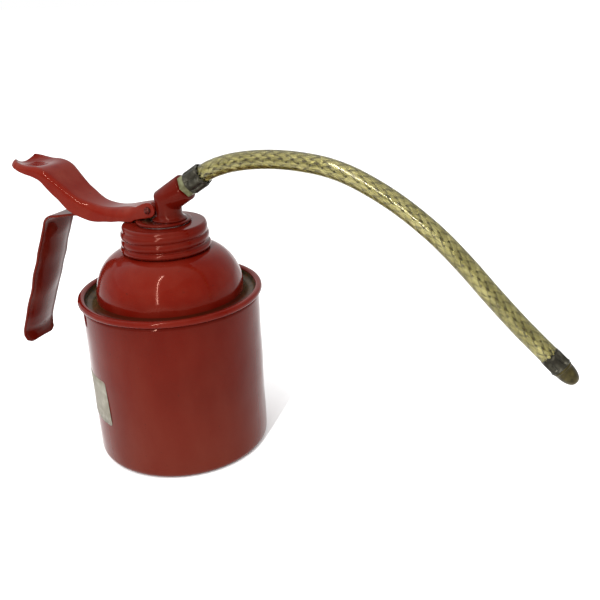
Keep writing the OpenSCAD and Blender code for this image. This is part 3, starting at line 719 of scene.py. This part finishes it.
def rolled_thread(angle, z):
    """How far the wall stands out at a place round the cap."""
    turns = ((angle - thread_front) / (2 * math.pi) + 0.5) % 1 - 0.5
    out = bead_size * max(0, 1 - abs((z - foot_bead) / bead_size) ** 2.2) ** 0.5
    for k in (-1, 0, 1, 2):
        ridge = thread_middle + pitch * (turns + k)
        there = ease(ridge, 106.6, 108) * (1 - ease(ridge, 113.5, 114.3))
        off = min(abs(z - ridge) / pitch, 0.5)
        out = max(out, thread_depth * there * math.cos(math.pi * off) ** 0.62)
    return out


cap_inside = cap_radius - cap_sheet
cap = turned([(boss_hole, cap_top - cap_sheet), (boss_hole, cap_top), (cap_radius, cap_top),
              (cap_radius, cap_foot), (cap_inside, cap_foot), (cap_inside, cap_top - cap_sheet)],
             [(2, 1.3, 7)], 192, 0.26)
for v in cap.verts:
    r = math.hypot(v.co.x, v.co.y) / mm
    z = v.co.z / mm
    if r > 19.8 and z < 115.6:
        share = min((r - cap_inside) / cap_sheet, 1)
        grown = 1 + share * rolled_thread(math.atan2(v.co.y, v.co.x), z) / r
        v.co.x *= grown
        v.co.y *= grown
wavy(cap, 0.12, 7, lambda r, z: 1 if r > 20 else 0)
cap_piece = make_piece("rolled_cap", cap, cap_paint, "cap")
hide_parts("screw_cap")


# The handle: one strip of sheet steel with a round eye that the elbow clamps on the pump's
# boss. It is bent down beyond the lever, dished along its length, and enamelled.
def bent(start, bends, s):
    """The point (x, z) and the heading at s along a strip that sets off towards -X."""
    x, z = start
    heading = 0.0
    if s < 0:
        return x - s, z, heading
    for length, turning in bends:
        run = min(s, length)
        part = math.radians(turning) * run / length
        chord = run if abs(part) < 1e-6 else 2 * run / part * math.sin(part / 2)
        x -= chord * math.cos(heading + part / 2)
        z += chord * math.sin(heading + part / 2)
        heading += part
        s -= run
    return x, z, heading


def between(table, s):
    """A size that changes smoothly along a strip, from its table of (place, size)."""
    for (a, first_size), (b, next_size) in zip(table, table[1:]):
        if s <= b:
            return first_size + (next_size - first_size) * ease(s, a, b)
    return table[-1][1]


def blank(length, width, long_cells, cross_cells, thickness, notch=None):
    """A flat strip of sheet, its top at height 0, with softened edges."""
    bm = bmesh.new()
    bmesh.ops.create_grid(bm, x_segments=long_cells, y_segments=cross_cells, size=0.5 * mm)
    bmesh.ops.scale(bm, verts=bm.verts, vec=(length, width, 1))
    if notch:
        cut = [f for f in bm.faces if notch(f.calc_center_median() / mm)]
        bmesh.ops.delete(bm, geom=cut, context="FACES")
    bmesh.ops.solidify(bm, geom=bm.faces[:], thickness=thickness * mm)
    top = max(v.co.z for v in bm.verts)
    bmesh.ops.translate(bm, verts=bm.verts, vec=(0, 0, -top))
    bmesh.ops.recalc_face_normals(bm, faces=bm.faces)
    sharp_edges = [e for e in bm.edges if len(e.link_faces) == 2
                   and e.calc_face_angle(0) > 1.2 and e.link_faces[0].normal.z
                   * e.link_faces[1].normal.z < 0.1
                   and max(abs(f.normal.z) for f in e.link_faces) > 0.9]
    bmesh.ops.bevel(bm, geom=sharp_edges, offset=0.3 * mm, affect="EDGES", segments=2,
                    profile=0.5, material=-1)
    return bm


# The strap's red is painted at its own brightness: painted light and shade.
strap_paint = red_enamel("strap_enamel", 0.52, 0.6, 0.7, 0.5)
sheet = 1.2
strap_width = 23.0
strap_start = (-48, 117.8)
strap_bends = [(9.5, 0), (8.2, -67), (66, 0), (10, -63)]
strap_length = sum(length for length, turning in strap_bends)
strap_tail = 35.0
# Half the strap's width, and how far it is bowed, at places along it.
strap_halves = [(0, 5.2), (9.5, 11.5), (88, 11.5), (91.5, 10.6), (93, 8.8), (93.7, 7)]
strap_bows = [(0, 0), (14, 0.2), (26, 2.4), (81.7, 2.4), (93.7, 1)]
strap = blank(strap_length + strap_tail, strap_width, 250, 22, sheet)
for v in strap.verts:
    x, y, z = v.co / mm
    s = x + (strap_length + strap_tail) / 2 - strap_tail
    half = between(strap_halves, s)
    bow = between(strap_bows, s)
    q = y / (strap_width / 2)
    beaten = 0.55 * ease(s, 14, 30)
    curled_edge = 0.5 * ease(abs(q), 0.8, 1) * ease(s, 8, 20)
    n = sheet / 2 + z - bow * (1 - q * q) - curled_edge
    n += beaten * noise.noise(Vector((s / 13, q * 0.8, 0)))
    half += beaten / 1.1 * noise.noise(Vector((s / 9, 5 if q > 0 else 9, 0)))
    px, pz, heading = bent(strap_start, strap_bends, s)
    v.co = Vector((px + n * math.sin(heading), q * half, pz + n * math.cos(heading))) * mm
eye_hole = 6.8
eye_radius = 13.2
eye_low = 117.18
eye_high = 118.42
eye = turned([(eye_hole, eye_low), (eye_radius, eye_low), (eye_radius, eye_high),
              (eye_hole, eye_high)], [(1, 0.3, 2), (2, 0.4, 3)], 128)
eye_mesh = bpy.data.meshes.new("eye")
eye.to_mesh(eye_mesh)
eye.free()
strap.from_mesh(eye_mesh)
bpy.data.meshes.remove(eye_mesh)
strap_piece = make_piece("strap_handle", strap, strap_paint, "head")
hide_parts("handle_strap")

# The elbow: turned bar, mitred and brazed, on a round foot that clamps the handle, with a
# lug at its back for the lever. The pin through them is a rivet with peened heads.
# The elbow's red is painted darker than the other parts': painted shade.
elbow_paint = red_enamel("elbow_enamel", 0.46, 0.3, 0.6, 1.0)
bar_radius = 6.4
pin_x = -3.4
pin_z = 123.9
lug_radius = 2.6
lug_width = 9.0
foot_profile = ((8.3, 118.45), (8.3, 119.1), (8.1, 119.35), (7.6, 119.5), (7.1, 119.85),
                (6.75, 120.3), (6.5, 120.9), (bar_radius, 121.6))
# The foot and the upright, up to the mitre, then along the arm to its softened end.
elbow = bmesh.new()
points = bmesh.ops.create_circle(elbow, segments=96, radius=bar_radius * mm)["verts"]
ring = list({e for v in points for e in v.link_edges})
bmesh.ops.translate(elbow, verts=points, vec=(elbow_x * mm, 0, foot_profile[0][1] * mm))
for radius, height in foot_profile:
    points, ring = lengthened(elbow, ring)
    for v in points:
        away_now = math.hypot(v.co.x / mm - elbow_x, v.co.y / mm)
        v.co.x = (elbow_x + (v.co.x / mm - elbow_x) * radius / away_now) * mm
        v.co.y = v.co.y * radius / away_now
        v.co.z = height * mm
mitre_slope = math.cos(spout_rise) / (1 + math.sin(spout_rise))
points, ring = lengthened(elbow, ring)
mitre_ring = list(ring)
for v in points:
    v.co.z = (mitre_point.z - (v.co.x / mm - elbow_x) * mitre_slope) * mm
for radius, reach in ((bar_radius, elbow_reach - 0.4), (bar_radius - 0.35, elbow_reach - 0.05)):
    points, ring = lengthened(elbow, ring)
    for v in points:
        off_arm = v.co / mm - mitre_point
        off_arm -= off_arm.dot(spout_way) * spout_way
        v.co = (mitre_point + off_arm.normalized() * radius + reach * spout_way) * mm
bmesh.ops.holes_fill(elbow, edges=[e for e in elbow.edges if e.is_boundary], sides=0)
bmesh.ops.bevel(elbow, geom=mitre_ring, offset=0.9 * mm, affect="EDGES", segments=4,
                profile=0.5, material=-1)
# The lug, a round end round the pin that runs straight on into the upright.
lug = bmesh.ops.create_cone(elbow, cap_ends=True, segments=48, radius1=lug_radius * mm,
                            radius2=lug_radius * mm, depth=lug_width * mm)["verts"]
bmesh.ops.rotate(elbow, verts=lug, cent=(0, 0, 0), matrix=Matrix.Rotation(math.pi / 2, 3, "X"))
for v in lug:
    if v.co.x > 0.01 * mm:
        v.co.x += 4.5 * mm
bmesh.ops.translate(elbow, verts=lug, vec=(pin_x * mm, 0, pin_z * mm))
elbow_piece = make_piece("mitred_elbow", elbow, elbow_paint, "head")
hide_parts("spout_elbow")

rivet_finish, tree, shader = new_finish("rivet_finish", (0.03, 0.008, 0.006), 0.2)
dirt = speckle(tree, 1.2, 3)
tone = ramp(tree, dirt.outputs["Fac"], [
    (0.35, (0.012, 0.005, 0.004)), (0.7, (0.09, 0.008, 0.006))])
tree.links.new(tone.outputs["Color"], shader.inputs["Base Color"])
shader.inputs["IOR"].default_value = 1.25
shader.inputs["Specular Tint"].default_value = (1, 0.5, 0.4, 1)
rivet_half = [(1.28, 7.55), (1.75, 7.6), (1.6, 8.15), (0.9, 8.65), (0, 8.8)]
rivet = turned([(r, -z) for r, z in reversed(rivet_half)] + rivet_half, [], 48)
bmesh.ops.rotate(rivet, verts=rivet.verts, cent=(0, 0, 0),
                 matrix=Matrix.Rotation(math.pi / 2, 3, "X"))
bmesh.ops.translate(rivet, verts=rivet.verts, vec=(pin_x * mm, 0, pin_z * mm))
rivet_piece = make_piece("lever_rivet", rivet, rivet_finish, "head")
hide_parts("lever_pin")

# The thumb lever: a channel pressed from sheet steel. Its sides run out into two ears round
# the rivet, and its other end curves up and opens into a dished pad for the thumb.
# The lever's red is painted the brightest of all: painted light and sheen.
lever_paint = red_enamel("lever_enamel", 0.76, 0.5, 0.6, 0.8)
lever_bends = [(23.1, 42), (10.5, 0), (11.5, -41.4), (1.8, 0), (10.6, 24)]
lever_start = (-27.1, 123.0)
pad_end = sum(length for length, turning in lever_bends)
ear_end = 27.4
lever_blank = 28.0
channel_half = 7.5
ear_radius = 3.6
top_share = 0.5
fold_end = 0.75
# Each list has places along the lever, from the channel's start, and the size there.
half_widths = [(0, channel_half), (6, channel_half), (20, 9.6), (40, 12), (51.5, 12),
               (54.5, 11.4), (56.5, 10.2), (57.5, 9)]
side_depths = [(-8, 5.9), (0, 6.7), (9.5, 8.5), (17, 8.5), (25, 7.4), (40, 5.3), (57.5, 2.6)]
fold_radii = [(-6, 4.4), (6, 3.2), (20, 2.4)]
pad_dishes = [(38, 0), (46, 1.04), (57.5, 2.6)]
# The lower edge of the sides by X and height.
flange_feet = [(-19.1, 117.1), (-13.6, 117.15), (-11.7, 118.5), (-2.2, 120.5)]


def lower_edge(x):
    """The height of the sides' lower edge, which clears the cap and then the handle's eye."""
    for (a, low), (b, high) in zip(flange_feet, flange_feet[1:]):
        if x <= b:
            return low + (high - low) * (x - a) / (b - a)
    return flange_feet[-1][1]


def channel_section(s, p):
    """The place (y, n) and the outward direction at p across the channel, from 0 to 1."""
    half, fold = between(half_widths, s), between(fold_radii, s)
    deep, dish = between(side_depths, s), between(pad_dishes, s)
    if s < -8:
        deep = lever_start[1] - lower_edge(lever_start[0] - s)
    last_turn = math.pi / 2 if deep >= fold else math.acos(1 - deep / fold)
    if p < top_share:
        y = (half - fold) * p / top_share
        return y, -dish * (1 - (p / top_share) ** 2), Vector((0, 1))
    if p < fold_end:
        turned_by = last_turn * (p - top_share) / (fold_end - top_share)
        out = Vector((math.sin(turned_by), math.cos(turned_by)))
        return half - fold + fold * out.x, fold * (out.y - 1), out
    down_side = (p - fold_end) / (1 - fold_end)
    out = Vector((math.sin(last_turn), math.cos(last_turn)))
    return half - fold + fold * out.x, -min(deep, fold) - max(deep - fold, 0) * down_side, out


def lever_section(s, p):
    """The same with the two ears round the rivet, for p from -1 to 1. The far ear is lower."""
    x = lever_start[0] - s
    a = abs(p)
    y, n, out = channel_section(s, a)
    lift = 1.8 * ease(x, -27, -9)
    if a < fold_end:
        n += lift * min((fold_end - a) / (fold_end - top_share), 1)
    ear = ease(x, -19, -8)
    if ear > 0:
        reach = min(abs(x - pin_x) / 1.03, ear_radius)
        round_by = math.sqrt(ear_radius ** 2 - reach ** 2)
        pin_n = pin_z - lever_start[1]
        tall = 1.0 if p < 0 else 0.35
        if x > pin_x:
            upper = pin_n + tall * round_by
        else:
            upper = lift + (pin_n + tall * ear_radius - lift) * ease(x, -12, pin_x)
        lower = pin_n - round_by if x > -2.2 else lower_edge(x) - lever_start[1]
        if a < top_share:
            ear_y = channel_half * a / top_share
            ear_n = lift + (upper - lift) * (a / top_share) ** 3
            ear_out = Vector((0.3, 1)).normalized()
        else:
            ear_y = channel_half
            ear_n = upper + (lower - upper) * (a - top_share) / (1 - top_share)
            ear_out = Vector((1, 0))
        y, n = y + (ear_y - y) * ear, n + (ear_n - n) * ear
        out = out.lerp(ear_out, ear).normalized()
    side = 1 if p >= 0 else -1
    return side * y, n, Vector((side * out.x, out.y))


def along_lever(x):
    """How far along the lever a point of its flat blank comes to lie."""
    return x + (pad_end + ear_end) / 2 - ear_end


def behind_plate(centre):
    """The part of the blank between the ears, which is cut away."""
    return lever_start[0] - along_lever(centre.x) > -7 and abs(centre.y) < lever_blank / 4


lever = blank(pad_end + ear_end, lever_blank, 170, 48, sheet, behind_plate)
for v in lever.verts:
    x, y, z = v.co / mm
    s = min(max(along_lever(x), -ear_end), pad_end)
    across, n, out = lever_section(s, y / (lever_blank / 2))
    across += out.x * z
    n += out.y * z
    px, pz, heading = bent(lever_start, lever_bends, s)
    v.co = Vector((px + n * math.sin(heading), across, pz + n * math.cos(heading))) * mm
lever_piece = make_piece("pressed_lever", lever, lever_paint, "lever")
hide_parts("thumb_lever")

# A white table and a white room, with a soft light from above and a tall narrow lamp in
# front that draws the bright streak on the dome.
paper, tree, shader = new_finish("backdrop", (0.95, 0.95, 0.95), 0.9)
shader.inputs["Specular IOR Level"].default_value = 0.0
grain = speckle(tree, 300, 2)
tone = ramp(tree, grain.outputs["Fac"], [(0.3, (0.94, 0.94, 0.94)), (0.7, (0.96, 0.96, 0.96))])
tree.links.new(tone.outputs["Color"], shader.inputs["Base Color"])
floor_reach = 40_000
flat = bmesh.new()
bmesh.ops.create_grid(flat, x_segments=8, y_segments=8, size=floor_reach * mm)
floor_mesh = bpy.data.meshes.new("floor")
flat.to_mesh(floor_mesh)
flat.free()
floor_mesh.materials.append(paper)
floor = bpy.data.objects.new("floor", floor_mesh)
bpy.context.scene.collection.objects.link(floor)

room = bpy.data.worlds.new("room")
room.use_nodes = True
room_glow = room.node_tree.nodes["Background"]
room_glow.inputs["Color"].default_value = (1, 1, 1, 1)
room_glow.inputs["Strength"].default_value = 1.0
bpy.context.scene.world = room
bpy.context.scene.view_settings.view_transform = "Standard"

sky_light = bpy.data.lights.new("sky_light", "SUN")
sky_light.energy = 1.3
sky_light.angle = math.radians(100)
sky = bpy.data.objects.new("sky_light", sky_light)
sky.rotation_euler = (math.radians(18), math.radians(-14), 0)
bpy.context.scene.collection.objects.link(sky)

streak_light = bpy.data.lights.new("streak_lamp", "AREA")
streak_light.shape = "RECTANGLE"
streak_light.size = 13 * mm
streak_light.size_y = 1150 * mm
streak_light.energy = 8.0
lamp_place = Vector((100, -620, 600)) * mm
lit_point = Vector((0, 0, 90)) * mm
streak_lamp = bpy.data.objects.new("streak_lamp", streak_light)
streak_lamp.location = lamp_place
streak_lamp.rotation_mode = "QUATERNION"
streak_lamp.rotation_quaternion = (lit_point - lamp_place).to_track_quat("-Z", "Y")
bpy.context.scene.collection.objects.link(streak_lamp)
